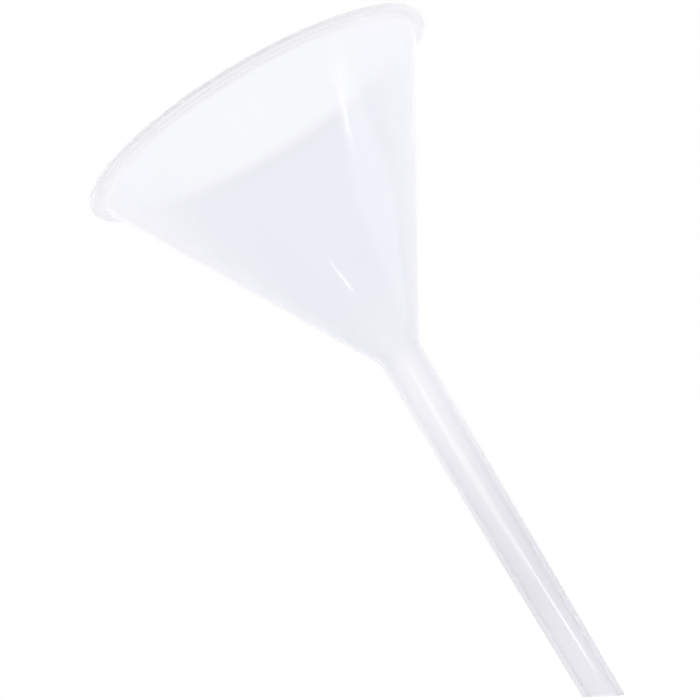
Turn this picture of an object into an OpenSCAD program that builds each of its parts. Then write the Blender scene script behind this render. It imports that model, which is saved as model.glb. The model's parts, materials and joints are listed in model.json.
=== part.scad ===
// Long-stem conical funnel, moulded in one piece.
// The origin is on the axis where the cone's outside meets the stem's, and +Z points to the mouth.
// Each section is turned from its own profile of radius and height.

/* [Mouth and lip] */
// Outside diameter of the mouth, across the lip
mouth_d = 100; // [80:1:150]
// How far the lip stands out past the cone's outside at the mouth
lip_width = 2; // [1.2:0.1:3.5]
// Thickness of the lip along the axis
lip_thickness = 1.6; // [1.3:0.1:2.4]
// Radius on the lip's two outer edges
lip_edge_radius = 0.6; // [0.2:0.05:0.6]
// Radius of the hollow corner under the lip
lip_root_radius = 0.8; // [0.2:0.1:1.2]
// Radius on the mouth's inner edge
mouth_edge_radius = 0.3; // [0.1:0.05:0.5]

/* [Bowl] */
// Full angle of the cone
cone_angle = 60; // [50:1:75]
// Wall of the bowl, measured square to the wall
bowl_wall = 1.5; // [1:0.1:2.2]

/* [Neck] */
// Height of the neck section above the joint of cone and stem
neck_rise = 6; // [4:0.5:12]
// Depth of the neck section below the joint of cone and stem
neck_drop = 4; // [3:0.5:12]
// Radius of the hollow turn outside, from cone to stem
neck_radius = 3; // [1:0.5:6]
// Radius of the turn inside, from cone to bore
throat_radius = 6; // [1:0.5:8]

/* [Stem] */
// Outside diameter of the stem where it leaves the cone
stem_top_d = 11.5; // [10.5:0.1:14]
// Outside diameter of the stem at its tip
stem_tip_d = 9.5; // [8:0.1:10.5]
// Wall of the stem
stem_wall = 1.4; // [1:0.1:2]
// Length of the stem, from the joint with the cone to the middle of the slanted tip
stem_length = 100; // [50:1:160]
// Slant of the tip, away from a square cut
tip_slant = 27; // [0:1:45]

/* [Hidden] */
$fn = 128;
corner_steps = 6;

mouth_r = mouth_d / 2;
stem_top_r = stem_top_d / 2;
stem_tip_r = stem_tip_d / 2;
flare = tan(cone_angle / 2);
draft = (stem_top_r - stem_tip_r) / stem_length;
wall_across = bowl_wall / cos(cone_angle / 2);

bowl_height = (mouth_r - lip_width - stem_top_r) / flare;
lip_underside = bowl_height - lip_thickness;
lip_seam = lip_underside - lip_root_radius;

bore_top_r = stem_top_r - stem_wall;
throat_height = (bore_top_r - stem_top_r + wall_across) / (flare - draft);
tip_reach = stem_tip_r * tan(tip_slant);
cut_size = 4 * stem_top_d;

// Radius of the cone's outside and inside at a height
function cone_outside(z) = stem_top_r + z * flare;
function cone_inside(z) = cone_outside(z) - wall_across;

// Radius of the stem's outside and of its bore at a height
function stem_outside(z) = stem_top_r + z * draft;
function stem_bore(z) = bore_top_r + z * draft;

function unit(v) = v / norm(v);
function short_turn(a) = a > 180 ? a - 360 : a < -180 ? a + 360 : a;

// Points of an arc that rounds the corner at p, between its neighbours before and after
function rounded_corner(p, before, after, radius) =
    let (
        u = unit(before - p),
        v = unit(after - p),
        half_angle = acos(u * v) / 2,
        reach = radius / tan(half_angle),
        centre = p + unit(u + v) * radius / sin(half_angle),
        first = p + u * reach - centre,
        last = p + v * reach - centre,
        start = atan2(first.y, first.x),
        turn = short_turn(atan2(last.y, last.x) - start)
    )
    [for (i = [0:corner_steps])
        let (a = start + turn * i / corner_steps)
        centre + radius * [cos(a), sin(a)]];

// Turns a list of [radius, height, corner radius] into an outline with its corners rounded
function profile(corners) =
    let (
        n = len(corners),
        flat = [for (c = corners) [c[0], c[1]]]
    )
    [for (i = [0:n - 1])
        let (
            corner_radius = corners[i][2],
            before = flat[(i + n - 1) % n],
            after = flat[(i + 1) % n]
        )
        each corner_radius > 0 ? rounded_corner(flat[i], before, after, corner_radius) : [flat[i]]];

module turned(corners) {
    rotate_extrude() polygon(profile(corners));
}

module rim_lip() {
    color([0.93, 0.92, 0.95])
        turned([
            [cone_inside(lip_seam), lip_seam, 0],
            [cone_outside(lip_seam), lip_seam, 0],
            [cone_outside(lip_underside), lip_underside, lip_root_radius],
            [mouth_r, lip_underside, lip_edge_radius],
            [mouth_r, bowl_height, lip_edge_radius],
            [cone_inside(bowl_height), bowl_height, mouth_edge_radius]
        ]);
}

module bowl() {
    color([0.92, 0.94, 1])
        turned([
            [cone_inside(neck_rise), neck_rise, 0],
            [cone_outside(neck_rise), neck_rise, 0],
            [cone_outside(lip_seam), lip_seam, 0],
            [cone_inside(lip_seam), lip_seam, 0]
        ]);
}

module neck() {
    color([0.9, 0.92, 0.98])
        turned([
            [stem_bore(-neck_drop), -neck_drop, 0],
            [stem_outside(-neck_drop), -neck_drop, 0],
            [stem_top_r, 0, neck_radius],
            [cone_outside(neck_rise), neck_rise, 0],
            [cone_inside(neck_rise), neck_rise, 0],
            [stem_bore(throat_height), throat_height, throat_radius]
        ]);
}

// The tube runs past the slant's longer side, at +X, and the slant is then cut through its middle
module stem() {
    tube_end = -(stem_length + tip_reach);
    color([0.88, 0.9, 0.94])
        difference() {
            turned([
                [stem_bore(tube_end), tube_end, 0],
                [stem_outside(tube_end), tube_end, 0],
                [stem_outside(-neck_drop), -neck_drop, 0],
                [stem_bore(-neck_drop), -neck_drop, 0]
            ]);
            translate([0, 0, -stem_length])
                rotate([0, tip_slant, 0])
                    translate([-cut_size / 2, -cut_size / 2, -cut_size])
                        cube(cut_size);
        }
}

rim_lip();
bowl();
neck();
stem();
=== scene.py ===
"""Dresses a long-stem conical funnel, and the small white studio that it stands in.

The sections are turned from outlines of radius and height by one Geometry Nodes tree. Lengths are in metres.
"""

import json
import math

import bpy
from mathutils import Matrix, Quaternion, Vector

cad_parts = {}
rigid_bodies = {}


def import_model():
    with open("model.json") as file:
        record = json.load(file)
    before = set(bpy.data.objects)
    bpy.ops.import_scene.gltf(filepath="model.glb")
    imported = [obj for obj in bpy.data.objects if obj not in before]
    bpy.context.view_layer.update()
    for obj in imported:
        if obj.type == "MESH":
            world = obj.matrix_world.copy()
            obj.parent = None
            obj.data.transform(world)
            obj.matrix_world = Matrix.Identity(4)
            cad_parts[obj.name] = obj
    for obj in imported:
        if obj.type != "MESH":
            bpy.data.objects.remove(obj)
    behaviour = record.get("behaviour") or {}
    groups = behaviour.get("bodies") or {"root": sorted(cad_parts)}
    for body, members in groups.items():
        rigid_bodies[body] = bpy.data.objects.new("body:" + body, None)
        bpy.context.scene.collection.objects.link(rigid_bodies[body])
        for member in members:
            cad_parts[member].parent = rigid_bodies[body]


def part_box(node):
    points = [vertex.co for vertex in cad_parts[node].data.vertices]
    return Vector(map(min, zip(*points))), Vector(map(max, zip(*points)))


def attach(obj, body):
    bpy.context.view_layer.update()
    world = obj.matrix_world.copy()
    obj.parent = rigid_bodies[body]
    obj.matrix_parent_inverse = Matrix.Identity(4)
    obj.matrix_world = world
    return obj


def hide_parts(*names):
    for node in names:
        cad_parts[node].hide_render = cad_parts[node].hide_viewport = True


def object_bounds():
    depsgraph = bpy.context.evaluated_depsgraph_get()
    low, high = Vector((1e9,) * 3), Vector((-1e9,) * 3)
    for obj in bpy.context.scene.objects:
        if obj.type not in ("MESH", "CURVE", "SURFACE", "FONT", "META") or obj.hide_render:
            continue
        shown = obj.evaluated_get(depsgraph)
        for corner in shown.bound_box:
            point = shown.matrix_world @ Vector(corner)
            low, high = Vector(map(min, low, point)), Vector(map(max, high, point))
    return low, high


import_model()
SOLID_LOW, SOLID_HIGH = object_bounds()
LIP_LOW, LIP_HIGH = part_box("rim_lip")
BOWL_LOW, BOWL_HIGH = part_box("bowl")
NECK_LOW, NECK_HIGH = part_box("neck")
STEM_LOW, STEM_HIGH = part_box("stem")

bl_info = {
    "name": "Conical funnel",
    "version": (1, 0, 0),
    "blender": (4, 5, 0),
    "location": "3D View > Sidebar > Funnel",
    "description": "Turns a long-stem funnel's sections and sets up its studio",
    "category": "Object",
}

MM = 0.001


# ---------------------------------------------------------------- settings


class FunnelSizes(bpy.types.PropertyGroup):
    """Sizes of the moulding that the frame's boxes don't give."""

    bowl_wall: bpy.props.FloatProperty(
        name="Bowl wall", description="Wall of the bowl, square to itself", default=1.5 * MM, unit="LENGTH"
    )
    stem_wall: bpy.props.FloatProperty(
        name="Stem wall", description="Wall of the stem", default=1.4 * MM, unit="LENGTH"
    )
    stem_top_d: bpy.props.FloatProperty(
        name="Stem top", description="Outside diameter of the stem at the cone", default=11.5 * MM,
        unit="LENGTH",
    )
    stem_tip_d: bpy.props.FloatProperty(
        name="Stem tip", description="Outside diameter of the stem at its tip", default=9.5 * MM,
        unit="LENGTH",
    )
    lip_thickness: bpy.props.FloatProperty(
        name="Lip thickness", description="Thickness of the lip along the axis", default=1.6 * MM,
        unit="LENGTH",
    )
    lip_edge: bpy.props.FloatProperty(
        name="Lip edge", description="Radius on the lip's two outer edges", default=0.6 * MM, unit="LENGTH"
    )
    lip_root: bpy.props.FloatProperty(
        name="Lip root", description="Radius of the hollow corner under the lip", default=0.8 * MM,
        unit="LENGTH",
    )
    mouth_edge: bpy.props.FloatProperty(
        name="Mouth edge", description="Radius on the mouth's inner edge", default=0.3 * MM, unit="LENGTH"
    )
    neck_turn: bpy.props.FloatProperty(
        name="Neck turn", description="Radius of the hollow turn from cone to stem", default=3 * MM,
        unit="LENGTH",
    )
    throat_turn: bpy.props.FloatProperty(
        name="Throat turn", description="Radius of the turn from cone to bore", default=6 * MM, unit="LENGTH"
    )
    tip_slant: bpy.props.FloatProperty(
        name="Tip slant", description="Slant of the tip, away from a square cut", default=math.radians(27),
        subtype="ANGLE",
    )
    turns: bpy.props.IntProperty(
        name="Steps round", description="Faces in one turn round the axis", default=480, min=24, max=512
    )


class FunnelFinish(bpy.types.PropertyGroup):
    """The look of the milky moulding."""

    bowl_tint: bpy.props.FloatVectorProperty(
        name="Bowl tint", description="Colour of the bowl's wall", default=(0.942, 0.948, 0.98), size=3,
        subtype="COLOR", min=0, max=1,
    )
    neck_tint: bpy.props.FloatVectorProperty(
        name="Neck tint", description="Colour of the neck and the top of the stem",
        default=(0.985, 0.985, 1.0), size=3, subtype="COLOR", min=0, max=1,
    )
    tip_tint: bpy.props.FloatVectorProperty(
        name="Tip tint", description="Colour of the lower stem", default=(0.884, 0.874, 0.9), size=3,
        subtype="COLOR", min=0, max=1,
    )
    lip_tint: bpy.props.FloatVectorProperty(
        name="Lip tint", description="Colour of the thick lip", default=(0.935, 0.92, 0.945), size=3,
        subtype="COLOR", min=0, max=1,
    )
    cloud_tint: bpy.props.FloatVectorProperty(
        name="Cloud tint", description="Colour of the paler clouds in the resin", default=(0.98, 0.985, 1.0),
        size=3, subtype="COLOR", min=0, max=1,
    )
    clarity: bpy.props.FloatProperty(
        name="Clarity", description="Share of the light that the wall lets through", default=0.99, min=0,
        max=1, subtype="FACTOR",
    )
    haze: bpy.props.FloatProperty(
        name="Haze", description="Roughness inside the wall, which blurs what is behind", default=0.4, min=0,
        max=1, subtype="FACTOR",
    )
    bending: bpy.props.FloatProperty(
        name="Bending", description="Index of refraction of the cloudy body under its skin", default=1.06,
        min=1,
    )
    bloom: bpy.props.FloatProperty(
        name="Bloom", description="Pale sheen where the wall is seen edge on", default=0.5, min=0, max=1,
        subtype="FACTOR",
    )
    # Also sets how strong the painted edge shade down the stem is
    veil: bpy.props.FloatProperty(
        name="Veil", description="How milky the wall is where it is seen edge on, through more of the resin",
        default=0.85, min=0, max=1, subtype="FACTOR",
    )
    lip_veil: bpy.props.FloatProperty(
        name="Lip veil", description="How milky the thicker lip is", default=0.6, min=0, max=1,
        subtype="FACTOR",
    )
    veil_tint: bpy.props.FloatVectorProperty(
        name="Veil tint", description="Colour of the milk in the bowl and the neck",
        default=(0.96, 0.963, 0.995), size=3, subtype="COLOR", min=0, max=1,
    )
    # Painted shade: dark grey milk on the lower stem's outside edges stands in for the dark edges that
    # refraction gives
    tip_edge_shade_tint: bpy.props.FloatVectorProperty(
        name="Tip veil tint", description="Colour of the milk in the lower stem",
        default=(0.75, 0.74, 0.78), size=3, subtype="COLOR", min=0, max=1,
    )
    lip_veil_tint: bpy.props.FloatVectorProperty(
        name="Lip veil tint", description="Colour of the milk in the lip", default=(0.985, 0.965, 0.99),
        size=3, subtype="COLOR", min=0, max=1,
    )
    polish: bpy.props.FloatProperty(
        name="Polish", description="Roughness of the glossy skin", default=0.1, min=0, max=1, subtype="FACTOR"
    )


class FunnelStudio(bpy.types.PropertyGroup):
    """The camera, and the level of the soft light."""

    aim: bpy.props.FloatVectorProperty(
        name="Aim", description="Point that the camera looks at", default=(-10.6 * MM, 0, 7.3 * MM), size=3,
        subtype="TRANSLATION", unit="LENGTH",
    )
    distance: bpy.props.FloatProperty(
        name="Distance", description="Distance from the camera to its aim", default=488 * MM, unit="LENGTH"
    )
    elevation: bpy.props.FloatProperty(
        name="Elevation", description="Height of the camera over the aim, as an angle",
        default=math.radians(-7.6), subtype="ANGLE",
    )
    roll: bpy.props.FloatProperty(
        name="Roll", description="Turn of the camera about its own line of sight",
        default=math.radians(-30.6), subtype="ANGLE",
    )
    lens: bpy.props.FloatProperty(
        name="Lens", description="Focal length, in millimetres", default=97.7, min=1
    )
    back_level: bpy.props.FloatProperty(
        name="Back level", description="Level of the surroundings behind the funnel and beside it",
        default=1.0, min=0,
    )
    front_level: bpy.props.FloatProperty(
        name="Front level", description="Level of the surroundings on the camera's side", default=0.63, min=0
    )


# ---------------------------------------------------------------- node trees


class Wire:
    """A node's output that takes part in Python arithmetic, each step of which adds a Math node."""

    def __init__(self, tree, socket):
        self.tree = tree
        self.socket = socket

    def math(self, operation, *others, swapped=False):
        """Adds a Math node. swapped puts this wire last, for a reflected operator."""
        values = (*others, self) if swapped else (self, *others)
        return self.tree.add("ShaderNodeMath", {"operation": operation}, values)

    def __add__(self, other):
        return self.math("ADD", other)

    def __radd__(self, other):
        return self.math("ADD", other, swapped=True)

    def __sub__(self, other):
        return self.math("SUBTRACT", other)

    def __rsub__(self, other):
        return self.math("SUBTRACT", other, swapped=True)

    def __mul__(self, other):
        return self.math("MULTIPLY", other)

    def __rmul__(self, other):
        return self.math("MULTIPLY", other, swapped=True)

    def __truediv__(self, other):
        return self.math("DIVIDE", other)

    def __rtruediv__(self, other):
        return self.math("DIVIDE", other, swapped=True)

    def __mod__(self, other):
        return self.math("MODULO", other)

    def __rmod__(self, other):
        return self.math("MODULO", other, swapped=True)

    def __lt__(self, other):
        return self.math("LESS_THAN", other)

    def __gt__(self, other):
        return self.math("GREATER_THAN", other)

    def __abs__(self):
        return self.math("ABSOLUTE")

    def floor(self):
        return self.math("FLOOR")

    def larger(self, other):
        """The larger of this and another value."""
        return self.math("MAXIMUM", other)

    def clamped(self):
        """This value, held between 0 and 1."""
        return self.larger(0).math("MINIMUM", 1)


class Tree:
    """A node tree whose nodes are added by one call each."""

    def __init__(self, tree):
        self.tree = tree

    def add(self, kind, settings=None, values=None, output=0):
        """Adds a node. values go to its inputs by place, or by name where they are a dict."""
        node = self.tree.nodes.new(kind)
        for name, value in (settings or {}).items():
            setattr(node, name, value)
        pairs = values.items() if isinstance(values, dict) else enumerate(values or ())
        for key, value in pairs:
            if isinstance(value, Wire):
                self.tree.links.new(value.socket, node.inputs[key])
            elif value is not None:
                node.inputs[key].default_value = value
        return Wire(self, node.outputs[output]) if len(node.outputs) else node

    def other(self, wire, output):
        """Another output of the node that a wire comes from."""
        return Wire(self, wire.socket.node.outputs[output])

    def blend(self, share, first, second):
        """Mixes two colours."""
        return self.add("ShaderNodeMix", {"data_type": "RGBA"}, {0: share, 6: first, 7: second}, output=2)


def emptied_tree(owner):
    """The node tree of a new material or world, with its first nodes taken out."""
    owner.use_nodes = True
    owner.node_tree.nodes.clear()
    return Tree(owner.node_tree)


def opaque(colour):
    """A colour with the full opacity that a shader's socket wants."""
    return (*colour, 1.0)


def ramp_between(wire, low, high):
    """0 at low, 1 at high and straight between."""
    return ((wire - low) / (high - low)).clamped()


# ---------------------------------------------------------------- turned sections

OUTLINE = "Outline"
TURNED_INPUTS = {
    "Turns": "NodeSocketInt",
    "Seam Low": "NodeSocketFloat",
    "Seam High": "NodeSocketFloat",
    "Slant": "NodeSocketFloat",
    "Slant Start": "NodeSocketFloat",
    "Slant End": "NodeSocketFloat",
    "Draft": "NodeSocketFloat",
    "Plastic": "NodeSocketMaterial",
    "Seam": "NodeSocketMaterial",
}
# Edges that turn further than this stay sharp
SMOOTH_ANGLE = math.radians(25)
# How near a face lies to a seam's height, and how level it is, to be the seam's own
SEAM_REACH = 0.005 * MM
SEAM_LEVEL = 0.99
# Points nearer than this become one, where a turn closes on itself
WELD = 0.002 * MM
# Keeps a whole number from being rounded down to the one below it
NUDGE = 0.5 / 1024
# Slope, and the heights between which a section leans into it, for a section with square ends
NO_SLANT = (0.0, -1.0, -2.0)


def turned_tree():
    """Turns an outline, whose x is a radius and z a height, round the axis, and slants its lower end."""
    group = bpy.data.node_groups.new("turned_section", "GeometryNodeTree")
    group.interface.new_socket(OUTLINE, in_out="INPUT", socket_type="NodeSocketGeometry")
    for name, kind in TURNED_INPUTS.items():
        group.interface.new_socket(name, in_out="INPUT", socket_type=kind)
    group.interface.new_socket("Section", in_out="OUTPUT", socket_type="NodeSocketGeometry")
    t = Tree(group)
    source = t.add("NodeGroupInput")
    given = {name: t.other(source, name) for name in (OUTLINE, *TURNED_INPUTS)}

    points = t.add("GeometryNodeAttributeDomainSize", {"component": "MESH"}, [given[OUTLINE]])
    rings = given["Turns"] + 1
    grid = t.add("GeometryNodeMeshGrid", None, {"Vertices X": points + 1, "Vertices Y": rings})
    index = t.add("GeometryNodeInputIndex")
    along = (index / rings + NUDGE).floor() % points
    turn = (index % rings) / given["Turns"] * math.tau
    place = t.add("GeometryNodeInputPosition")
    outline_point = t.add(
        "GeometryNodeSampleIndex", {"data_type": "FLOAT_VECTOR", "domain": "POINT"},
        {"Geometry": given[OUTLINE], "Value": place, "Index": along},
    )
    radius = t.add("ShaderNodeSeparateXYZ", None, [outline_point])
    height = t.other(radius, "Z")

    share = ((given["Slant Start"] - height) / (given["Slant Start"] - given["Slant End"])).clamped()
    cosine = turn.math("COSINE")
    drop = share * given["Slant"] * radius * cosine
    lowered = height - drop
    narrowed = radius - drop * given["Draft"]
    moved = t.add("ShaderNodeCombineXYZ", None, [narrowed * cosine, narrowed * turn.math("SINE"), lowered])
    placed = t.add("GeometryNodeSetPosition", None, {"Geometry": grid, "Position": moved})
    outward = t.add("GeometryNodeFlipFaces", None, {"Mesh": placed})
    welded = t.add("GeometryNodeMergeByDistance", None, {"Geometry": outward, "Distance": WELD})

    sharp = t.add("GeometryNodeInputMeshEdgeAngle") > SMOOTH_ANGLE
    smooth = t.add(
        "GeometryNodeSetShadeSmooth", {"domain": "FACE"}, {"Geometry": welded, "Shade Smooth": True}
    )
    creased = t.add(
        "GeometryNodeSetShadeSmooth", {"domain": "EDGE"},
        {"Geometry": smooth, "Selection": sharp, "Shade Smooth": False},
    )
    real = t.add("GeometryNodeRealizeInstances", None, {"Geometry": creased})
    dressed = t.add("GeometryNodeSetMaterial", None, {"Geometry": real, "Material": given["Plastic"]})

    facing = t.add("GeometryNodeInputNormal")
    level = abs(t.other(t.add("ShaderNodeSeparateXYZ", None, [facing]), "Z")) > SEAM_LEVEL
    face_height = t.other(t.add("ShaderNodeSeparateXYZ", None, [place]), "Z")
    at_low = abs(face_height - given["Seam Low"]) < SEAM_REACH
    at_high = abs(face_height - given["Seam High"]) < SEAM_REACH
    seams = t.add(
        "GeometryNodeSetMaterial", None,
        {"Geometry": dressed, "Selection": level * at_low.larger(at_high), "Material": given["Seam"]},
    )
    t.add("NodeGroupOutput", None, [seams])
    return group


def rounded_corner(point, before, after, radius, steps):
    """Points of the arc that rounds a corner between its neighbours."""
    to_before = (before - point).normalized()
    to_after = (after - point).normalized()
    half_angle = to_before.angle(to_after) / 2
    reach = radius / math.tan(half_angle)
    centre = point + (to_before + to_after).normalized() * radius / math.sin(half_angle)
    first = point + to_before * reach - centre
    last = point + to_after * reach - centre
    start = math.atan2(first.y, first.x)
    turn = math.remainder(math.atan2(last.y, last.x) - start, math.tau)
    angles = [start + turn * i / steps for i in range(steps + 1)]
    return [centre + radius * Vector((math.cos(a), math.sin(a))) for a in angles]


def outline_of(corners, step=2 * MM, rail=0.12 * MM, arc_steps=8):
    """The closed outline of (radius, height, corner radius), with its straight stretches cut in even steps.

    A rail point just inside each stretch's two ends keeps the shading of the round corners off it.
    """
    flat = [Vector(c[:2]) for c in corners]
    count = len(flat)
    bends = [
        rounded_corner(flat[i], flat[i - 1], flat[(i + 1) % count], corners[i][2], arc_steps)
        if corners[i][2] > 0 else [flat[i]]
        for i in range(count)
    ]
    points = []
    for i, bend in enumerate(bends):
        points += bend
        start, end = bend[-1], bends[(i + 1) % count][0]
        length = (end - start).length
        if length < 3 * rail:
            continue
        pieces = max(1, round((length - 2 * rail) / step))
        stops = [rail + (length - 2 * rail) * k / pieces for k in range(pieces + 1)]
        points += [start + (end - start) * stop / length for stop in stops]
    return points


def enclosed_volume(mesh):
    """Volume inside a closed mesh, which is negative where its faces point inward."""
    mesh.calc_loop_triangles()
    points = [v.co for v in mesh.vertices]
    corners = ([points[i] for i in t.vertices] for t in mesh.loop_triangles)
    return sum(a.dot(b.cross(c)) for a, b, c in corners) / 6


def shown_name(node):
    """Name of the section that is shown in a CAD node's place."""
    return node + "_moulding"


def turned_piece(name, corners, seams, slant=NO_SLANT, draft=0.0):
    """Makes one closed section of the moulding, which stands for the CAD node it is named after.

    seams are the heights at which it meets its neighbours.
    """
    scene = bpy.context.scene
    points = outline_of(corners)
    edges = [(i, (i + 1) % len(points)) for i in range(len(points))]
    mesh = bpy.data.meshes.new(name + "_outline")
    mesh.from_pydata([(p.x, 0, p.y) for p in points], edges, [])
    piece = bpy.data.objects.new(shown_name(name), mesh)
    scene.collection.objects.link(piece)

    group = bpy.data.node_groups.get("turned_section") or turned_tree()
    modifier = piece.modifiers.new("turned", "NODES")
    modifier.node_group = group
    values = {
        "Turns": scene.funnel_sizes.turns,
        "Seam Low": seams[0],
        "Seam High": seams[1],
        "Slant": slant[0],
        "Slant Start": slant[1],
        "Slant End": slant[2],
        "Draft": draft,
        "Plastic": moulded_finish(),
        "Seam": seam_finish(),
    }
    for socket in group.interface.items_tree:
        if socket.name in values:
            modifier[socket.identifier] = values[socket.name]
    depsgraph = bpy.context.evaluated_depsgraph_get()
    depsgraph.update()
    made = bpy.data.meshes.new_from_object(
        piece.evaluated_get(depsgraph), preserve_all_data_layers=True, depsgraph=depsgraph
    )
    piece.modifiers.remove(modifier)
    piece.data = made
    made.name = shown_name(name)
    if enclosed_volume(made) <= 0:
        raise RuntimeError(f"{name}: the outline did not turn into a closed section that faces outward")
    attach(piece, "root")
    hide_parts(name)
    return piece


# ---------------------------------------------------------------- shape of the moulding


class Moulding:
    """Radii of the funnel at any height, from the frame's boxes and the sizes."""

    def __init__(self, sizes):
        self.sizes = sizes
        self.flare = (BOWL_HIGH.x - NECK_HIGH.x) / (BOWL_HIGH.z - NECK_HIGH.z)
        self.wall_across = sizes.bowl_wall / math.cos(math.atan(self.flare))
        self.slant = math.tan(sizes.tip_slant)
        self.tip = STEM_LOW.z + self.slant * sizes.stem_tip_d / 2
        self.draft = (sizes.stem_top_d - sizes.stem_tip_d) / 2 / -self.tip
        self.top_r = sizes.stem_top_d / 2
        gap = self.top_r - sizes.stem_wall - self.cone_inside(0)
        self.throat = gap / (self.flare - self.draft)

    def cone_outside(self, z):
        """Radius of the bowl's outside."""
        return self.top_r + z * self.flare

    def cone_inside(self, z):
        """Radius of the bowl's inside."""
        return self.cone_outside(z) - self.wall_across

    def stem_outside(self, z):
        """Radius of the stem's outside."""
        return self.top_r + z * self.draft

    def bore(self, z):
        """Radius of the stem's bore."""
        return self.stem_outside(z) - self.sizes.stem_wall


# ---------------------------------------------------------------- finishes

# Noise scales: clouds in the resin some centimetres across, draw marks round the wall, fine grain
CLOUD_SCALE = 38.0
MARK_SCALE = 3.0
GRAIN_SCALE = 900.0
# How much each of them shows in the skin's faint relief, and how strong and deep that is
CLOUD_RELIEF = 0.6
MARK_RELIEF = 0.7
GRAIN_RELIEF = 0.02
RELIEF_STRENGTH = 0.015
RELIEF_DEPTH = 0.2 * MM
SKIN_INDEX = 1.49
# Heights at which the looks of the neck and of the lower stem start to come in, and are full
NECK_FADE = (20 * MM, -4 * MM)
STEM_FADE = (-12 * MM, -70 * MM)
# The same at the lip, from the height of its seam
LIP_FADE = (-0.4 * MM, 0.6 * MM)
LIP_SEEN_THROUGH = 0.25
# How steeply the milk, and the painted edge shade down the stem, gather towards the edges
EDGE_POWER = 1.6


def moulded_finish():
    """Milky, glossy plastic that blurs what is behind it, a little greyer down the stem and at the lip."""
    found = bpy.data.materials.get("milky_moulding")
    if found:
        return found
    look = bpy.context.scene.funnel_finish
    material = bpy.data.materials.new("milky_moulding")
    t = emptied_tree(material)

    coords = t.add("ShaderNodeTexCoord", output="Object")
    radius = t.add("ShaderNodeSeparateXYZ", None, [coords])
    height = t.other(radius, "Z")
    across = t.other(radius, "Y")

    clouds = t.add(
        "ShaderNodeTexNoise", None,
        {"Vector": coords, "Scale": CLOUD_SCALE, "Detail": 3.0, "Roughness": 0.5},
    )
    # Draw marks along the wall: the turn round the axis counts, the height hardly does
    turn = across.math("ARCTAN2", radius)
    marks_at = t.add("ShaderNodeCombineXYZ", None, [turn.math("COSINE"), turn.math("SINE"), height * 4])
    marks = t.add(
        "ShaderNodeTexNoise", None,
        {"Vector": marks_at, "Scale": MARK_SCALE, "Detail": 4.0, "Roughness": 0.55},
    )
    grain = t.add("ShaderNodeTexNoise", None, {"Vector": coords, "Scale": GRAIN_SCALE, "Detail": 2.0})

    at_neck = ramp_between(height, *NECK_FADE)
    down_stem = ramp_between(height, *STEM_FADE)
    at_lip = ramp_between(height, *(LIP_LOW.z + fade for fade in LIP_FADE))
    # 0 on the stem's outside and 1 in its bore, whatever the taper has made of their radii
    from_axis = (radius * radius + across * across).math("SQRT")
    shape = Moulding(bpy.context.scene.funnel_sizes)
    near_skin = shape.top_r - shape.sizes.stem_wall * 0.25
    near_bore = shape.top_r - shape.sizes.stem_wall * 0.75
    in_bore = ramp_between(from_axis - height * shape.draft, near_skin, near_bore)

    tint = t.blend(at_neck, opaque(look.bowl_tint), opaque(look.neck_tint))
    tint = t.blend(down_stem, tint, opaque(look.tip_tint))
    tint = t.blend(at_lip, tint, opaque(look.lip_tint))
    tint = t.blend(clouds * 0.2, tint, opaque(look.cloud_tint))

    relief = marks * MARK_RELIEF + grain * GRAIN_RELIEF + clouds * CLOUD_RELIEF
    bump = t.add(
        "ShaderNodeBump", None,
        {"Strength": RELIEF_STRENGTH, "Distance": RELIEF_DEPTH, "Height": relief},
    )
    skin = {
        "IOR": look.bending,
        "Coat Weight": 1.0,
        "Coat Roughness": look.polish,
        "Coat IOR": SKIN_INDEX,
        "Normal": bump,
        "Alpha": 1 - at_lip * LIP_SEEN_THROUGH,
    }
    clear = {
        "Base Color": tint,
        "Roughness": look.haze + (clouds - 0.5) * 0.08,
        "Transmission Weight": look.clarity,
        "Sheen Weight": look.bloom,
        "Sheen Roughness": 0.7,
        "Sheen Tint": (0.95, 0.96, 1.0, 1.0),
    }
    # Down the stem the milk turns to the dark grey of the painted edge shade
    veil_tint = t.blend(down_stem, opaque(look.veil_tint), opaque(look.tip_edge_shade_tint))
    veil_tint = t.blend(at_lip, veil_tint, opaque(look.lip_veil_tint))
    milky = {"Base Color": veil_tint, "Roughness": 0.6}
    edge_on = t.add("ShaderNodeLayerWeight", None, {"Blend": 0.5, "Normal": bump}, output="Facing")
    # Seen square on, the thin wall hides little; edge on, the sight line runs through much of it.
    # Down the stem the bore stays clear, and the lip is milky all over.
    # Down the stem's outside, the dark grey milk is painted shade along its edges.
    milkiness = edge_on.math("POWER", EDGE_POWER) * (1 - down_stem * in_bore - at_lip) * look.veil
    milkiness = milkiness + at_lip * look.lip_veil
    wall = t.add(
        "ShaderNodeMixShader", None,
        [
            milkiness,
            t.add("ShaderNodeBsdfPrincipled", None, skin | clear),
            t.add("ShaderNodeBsdfPrincipled", None, skin | milky),
        ],
    )
    t.add("ShaderNodeOutputMaterial", None, [wall])
    return material


def seam_finish():
    """The faces where two sections meet inside the one moulding, which can't be seen."""
    found = bpy.data.materials.get("inner_seam")
    if found:
        return found
    material = bpy.data.materials.new("inner_seam")
    t = emptied_tree(material)
    clear = t.add("ShaderNodeBsdfPrincipled", None, {"Alpha": 0.0})
    t.add("ShaderNodeOutputMaterial", None, [clear])
    return material


# ---------------------------------------------------------------- studio fittings

# Where the surround is dim in front and bright behind, by the y of the direction towards it
FRONT_END = -0.55
BACK_START = 0.1
# Half of the floor's side, and how far it lies under the tip
FLOOR_HALF = 1.6
FLOOR_GAP = 0.5 * MM
# Share of the floor's look that ignores shadows, and its level, which makes up for the dimmer paper
FLOOR_GLOW = 0.6
FLOOR_WHITE = 1.2
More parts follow.
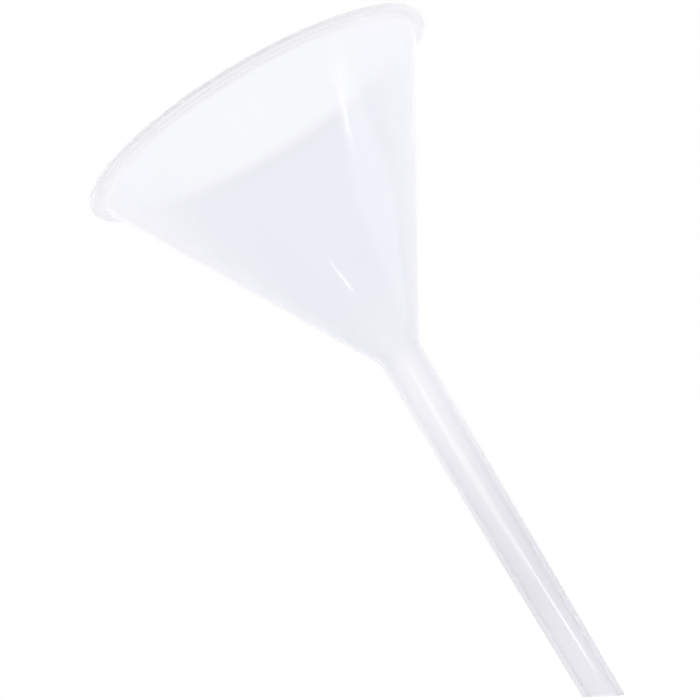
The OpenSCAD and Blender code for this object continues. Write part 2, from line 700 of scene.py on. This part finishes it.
# Name, turn in degrees and height of each end of the streak, distance of the lamp, its width and power,
# and the sections that it lights
GLINTS = (
    ("glint_upper", (-61, 55 * MM), (-62, 47 * MM), 0.2, 0.002, 0.0018, ("bowl",)),
    ("glint_fork", (-62, 65 * MM), (-61, 57 * MM), 0.2, 0.0015, 0.0005, ("bowl",)),
    ("glint_prong", (-59, 61.5 * MM), (-61, 57 * MM), 0.2, 0.0015, 0.00025, ("bowl",)),
    ("glint_lower", (-100, 24 * MM), (-99, 18 * MM), 0.12, 0.002, 0.0011, ("bowl",)),
    ("glint_margin", (-50, 50 * MM), (-62, 10 * MM), 0.12, 0.09, 0.018, ("bowl",)),
    ("glint_stem", (-96, -14 * MM), (-86, -55 * MM), 0.11, 0.06, 0.021, ("stem",)),
    ("glint_tip", (-86, -55 * MM), (-74, -97 * MM), 0.11, 0.02, 0.018, ("stem",)),
)
# Name, place, what it looks at, width, height and power
LAMPS = (
    ("overhead_soft", (-0.25, -0.15, 0.75), (0, 0, 0.03), 0.6, 0.6, 0.8),
    ("left_soft", (-0.6, 0.1, 0.0), (0, 0, 0.03), 0.25, 0.5, 0.7),
    ("right_soft", (0.6, 0.1, 0.0), (0, 0, 0.03), 0.25, 0.5, 1.0),
)
SENSOR_WIDTH = 36.0
CLIP_START = 10 * MM


# ---------------------------------------------------------------- operators


class FUNNEL_OT_rim_lip(bpy.types.Operator):
    """Turns the lip that stands out round the mouth"""

    bl_idname = "funnel.rim_lip"
    bl_label = "Rim lip"

    def execute(self, context):
        sizes = context.scene.funnel_sizes
        shape = Moulding(sizes)
        top = LIP_HIGH.z
        seam = LIP_LOW.z
        underside = top - sizes.lip_thickness
        corners = [
            (shape.cone_inside(seam), seam, 0),
            (shape.cone_outside(seam), seam, 0),
            (shape.cone_outside(underside), underside, sizes.lip_root),
            (LIP_HIGH.x, underside, sizes.lip_edge),
            (LIP_HIGH.x, top, sizes.lip_edge),
            (shape.cone_inside(top), top, sizes.mouth_edge),
        ]
        turned_piece("rim_lip", corners, seams=(seam, seam))
        return {"FINISHED"}


class FUNNEL_OT_bowl(bpy.types.Operator):
    """Turns the open conical wall"""

    bl_idname = "funnel.bowl"
    bl_label = "Bowl"

    def execute(self, context):
        shape = Moulding(context.scene.funnel_sizes)
        low, high = BOWL_LOW.z, BOWL_HIGH.z
        corners = [
            (shape.cone_inside(low), low, 0),
            (shape.cone_outside(low), low, 0),
            (shape.cone_outside(high), high, 0),
            (shape.cone_inside(high), high, 0),
        ]
        turned_piece("bowl", corners, seams=(low, high))
        return {"FINISHED"}


class FUNNEL_OT_neck(bpy.types.Operator):
    """Turns the rounded neck, with the throat inside"""

    bl_idname = "funnel.neck"
    bl_label = "Neck"

    def execute(self, context):
        sizes = context.scene.funnel_sizes
        shape = Moulding(sizes)
        low, high = NECK_LOW.z, NECK_HIGH.z
        corners = [
            (shape.bore(low), low, 0),
            (shape.stem_outside(low), low, 0),
            (shape.top_r, 0, sizes.neck_turn),
            (shape.cone_outside(high), high, 0),
            (shape.cone_inside(high), high, 0),
            (shape.bore(shape.throat), shape.throat, sizes.throat_turn),
        ]
        turned_piece("neck", corners, seams=(low, high))
        return {"FINISHED"}


class FUNNEL_OT_stem(bpy.types.Operator):
    """Turns the tapered stem and slants its tip"""

    bl_idname = "funnel.stem"
    bl_label = "Stem"

    slant_run: bpy.props.FloatProperty(
        name="Slant run", description="Length of stem over which the mesh leans into the slant",
        default=20 * MM, unit="LENGTH",
    )

    def execute(self, context):
        shape = Moulding(context.scene.funnel_sizes)
        top = STEM_HIGH.z
        corners = [
            (shape.bore(shape.tip), shape.tip, 0),
            (shape.stem_outside(shape.tip), shape.tip, 0),
            (shape.stem_outside(top), top, 0),
            (shape.bore(top), top, 0),
        ]
        slant = (shape.slant, shape.tip + self.slant_run, shape.tip)
        turned_piece("stem", corners, seams=(top, top), slant=slant, draft=shape.draft)
        return {"FINISHED"}


class FUNNEL_OT_studio(bpy.types.Operator):
    """Sets up the floor, the white surroundings, the lamps and the camera"""

    bl_idname = "funnel.studio"
    bl_label = "Studio"

    def execute(self, context):
        scene = context.scene
        studio = scene.funnel_studio
        scene.view_settings.view_transform = "Standard"
        self.surround(scene, studio)
        self.floor(scene)
        for lamp in LAMPS:
            self.lamp(scene, *lamp).visible_glossy = False
        self.camera(scene, studio)
        shape = Moulding(scene.funnel_sizes)
        for glint in GLINTS:
            self.glint(scene, shape, *glint)
        return {"FINISHED"}

    def surround(self, scene, studio):
        """White to the camera and through the wall, and a white sweep with a dimmer front elsewhere."""
        world = bpy.data.worlds.new("white_surround")
        t = emptied_tree(world)
        seen = t.add("ShaderNodeLightPath", output="Is Camera Ray")
        seen = seen.larger(t.other(seen, "Is Transmission Ray"))
        direction = t.add("ShaderNodeTexCoord", output="Generated")
        ahead = t.other(t.add("ShaderNodeSeparateXYZ", None, [direction]), "Y")
        rise = studio.back_level - studio.front_level
        sweep = ramp_between(ahead, FRONT_END, BACK_START) * rise + studio.front_level
        level = sweep + seen * (1 - sweep)
        back = t.add("ShaderNodeBackground", None, {"Color": (1, 1, 1, 1), "Strength": level})
        t.add("ShaderNodeOutputWorld", None, [back])
        scene.world = world

    def floor(self, scene):
        """A pale sheet under the tip, white to the camera where nothing shades it."""
        height = SOLID_LOW.z - FLOOR_GAP
        mesh = bpy.data.meshes.new("floor")
        signs = ((-1, -1), (1, -1), (1, 1), (-1, 1))
        corners = [(x * FLOOR_HALF, y * FLOOR_HALF, height) for x, y in signs]
        mesh.from_pydata(corners, [], [(0, 1, 2, 3)])
        floor = bpy.data.objects.new("floor", mesh)
        scene.collection.objects.link(floor)

        material = bpy.data.materials.new("pale_floor")
        t = emptied_tree(material)
        paper = t.add("ShaderNodeBsdfDiffuse", None, {"Color": (0.93, 0.93, 0.94, 1)})
        white = t.add("ShaderNodeEmission", None, {"Color": (1, 1, 1, 1), "Strength": FLOOR_WHITE})
        seen = t.add("ShaderNodeLightPath", output="Is Camera Ray")
        seen = seen.larger(t.other(seen, "Is Glossy Ray")).larger(t.other(seen, "Is Transmission Ray"))
        sheet = t.add("ShaderNodeMixShader", None, [seen * FLOOR_GLOW, paper, white])
        t.add("ShaderNodeOutputMaterial", None, [sheet])
        mesh.materials.append(material)

    def lamp(self, scene, name, place, target, width, height, power, upright=None):
        """A soft lamp that faces its target. upright is the direction of its height, where that matters."""
        data = bpy.data.lights.new(name, "AREA")
        data.shape = "RECTANGLE"
        data.size = width
        data.size_y = height
        data.energy = power
        lamp = bpy.data.objects.new(name, data)
        lamp.visible_transmission = False
        lamp.location = place
        lamp.rotation_mode = "QUATERNION"
        ahead = Vector(target) - Vector(place)
        if upright is None:
            lamp.rotation_quaternion = ahead.to_track_quat("-Z", "Y")
        else:
            side = upright.cross(-ahead).normalized()
            up = (-ahead).cross(side).normalized()
            turned = Matrix((side, up, -ahead.normalized())).transposed()
            lamp.rotation_quaternion = turned.to_quaternion()
        scene.collection.objects.link(lamp)
        return lamp

    def mirrored(self, scene, shape, turn, height, reach):
        """The spot on the outside at a turn and height, and the place that is seen mirrored in it."""
        around = math.radians(turn)
        across = Vector((math.cos(around), math.sin(around), 0))
        on_cone = height > 0
        lean = math.atan(shape.flare if on_cone else shape.draft)
        radius = shape.cone_outside(height) if on_cone else shape.stem_outside(height)
        normal = across * math.cos(lean) - Vector((0, 0, math.sin(lean)))
        spot = across * radius + Vector((0, 0, height))
        sight = (spot - scene.camera.location).normalized()
        return spot, spot + sight.reflect(normal) * reach

    def glint(self, scene, shape, name, start, end, reach, width, power, lit):
        """A thin lamp whose mirror image runs along the outside, from one turn and height to another."""
        first_spot, first = self.mirrored(scene, shape, *start, reach)
        last_spot, last = self.mirrored(scene, shape, *end, reach)
        middle = (first + last) / 2
        target = (first_spot + last_spot) / 2
        run = first - last
        lamp = self.lamp(scene, name, middle, target, width, run.length, power, upright=run)
        lamp.visible_camera = False
        lamp.visible_diffuse = False
        pieces = bpy.data.collections.new(name + "_pieces")
        for node in lit:
            pieces.objects.link(bpy.data.objects[shown_name(node)])
        lamp.light_linking.receiver_collection = pieces

    def camera(self, scene, studio):
        """The camera, on the -Y side of its aim at its elevation, and rolled about its line of sight."""
        data = bpy.data.cameras.new("camera")
        data.lens = studio.lens
        data.sensor_width = SENSOR_WIDTH
        data.clip_start = CLIP_START
        camera = bpy.data.objects.new("camera", data)
        aim = Vector(studio.aim)
        back = Vector((0, -math.cos(studio.elevation), math.sin(studio.elevation)))
        camera.location = aim + back * studio.distance
        camera.rotation_mode = "QUATERNION"
        level = (-back).to_track_quat("-Z", "Y")
        camera.rotation_quaternion = level @ Quaternion((0, 0, 1), studio.roll)
        scene.collection.objects.link(camera)
        scene.camera = camera


class FUNNEL_PT_panel(bpy.types.Panel):
    """Lists the funnel's sections, their sizes and finish, and the studio"""

    bl_idname = "FUNNEL_PT_panel"
    bl_label = "Funnel"
    bl_space_type = "VIEW_3D"
    bl_region_type = "UI"
    bl_category = "Funnel"

    def draw(self, context):
        for operator in OPERATORS:
            self.layout.operator(operator.bl_idname)
        for settings_name, settings in SETTINGS.items():
            box = self.layout.box()
            for name in settings.__annotations__:
                box.prop(getattr(context.scene, settings_name), name)


OPERATORS = (FUNNEL_OT_rim_lip, FUNNEL_OT_bowl, FUNNEL_OT_neck, FUNNEL_OT_stem, FUNNEL_OT_studio)
SETTINGS = {"funnel_sizes": FunnelSizes, "funnel_finish": FunnelFinish, "funnel_studio": FunnelStudio}
CLASSES = (*SETTINGS.values(), *OPERATORS, FUNNEL_PT_panel)


def register():
    for cls in CLASSES:
        bpy.utils.register_class(cls)
    for name, cls in SETTINGS.items():
        setattr(bpy.types.Scene, name, bpy.props.PointerProperty(type=cls))


def unregister():
    for name in SETTINGS:
        delattr(bpy.types.Scene, name)
    for cls in reversed(CLASSES):
        bpy.utils.unregister_class(cls)


def main():
    register()
    bpy.ops.funnel.rim_lip()
    bpy.ops.funnel.bowl()
    bpy.ops.funnel.neck()
    bpy.ops.funnel.stem()
    bpy.ops.funnel.studio()


if __name__ == "__main__":
    main()
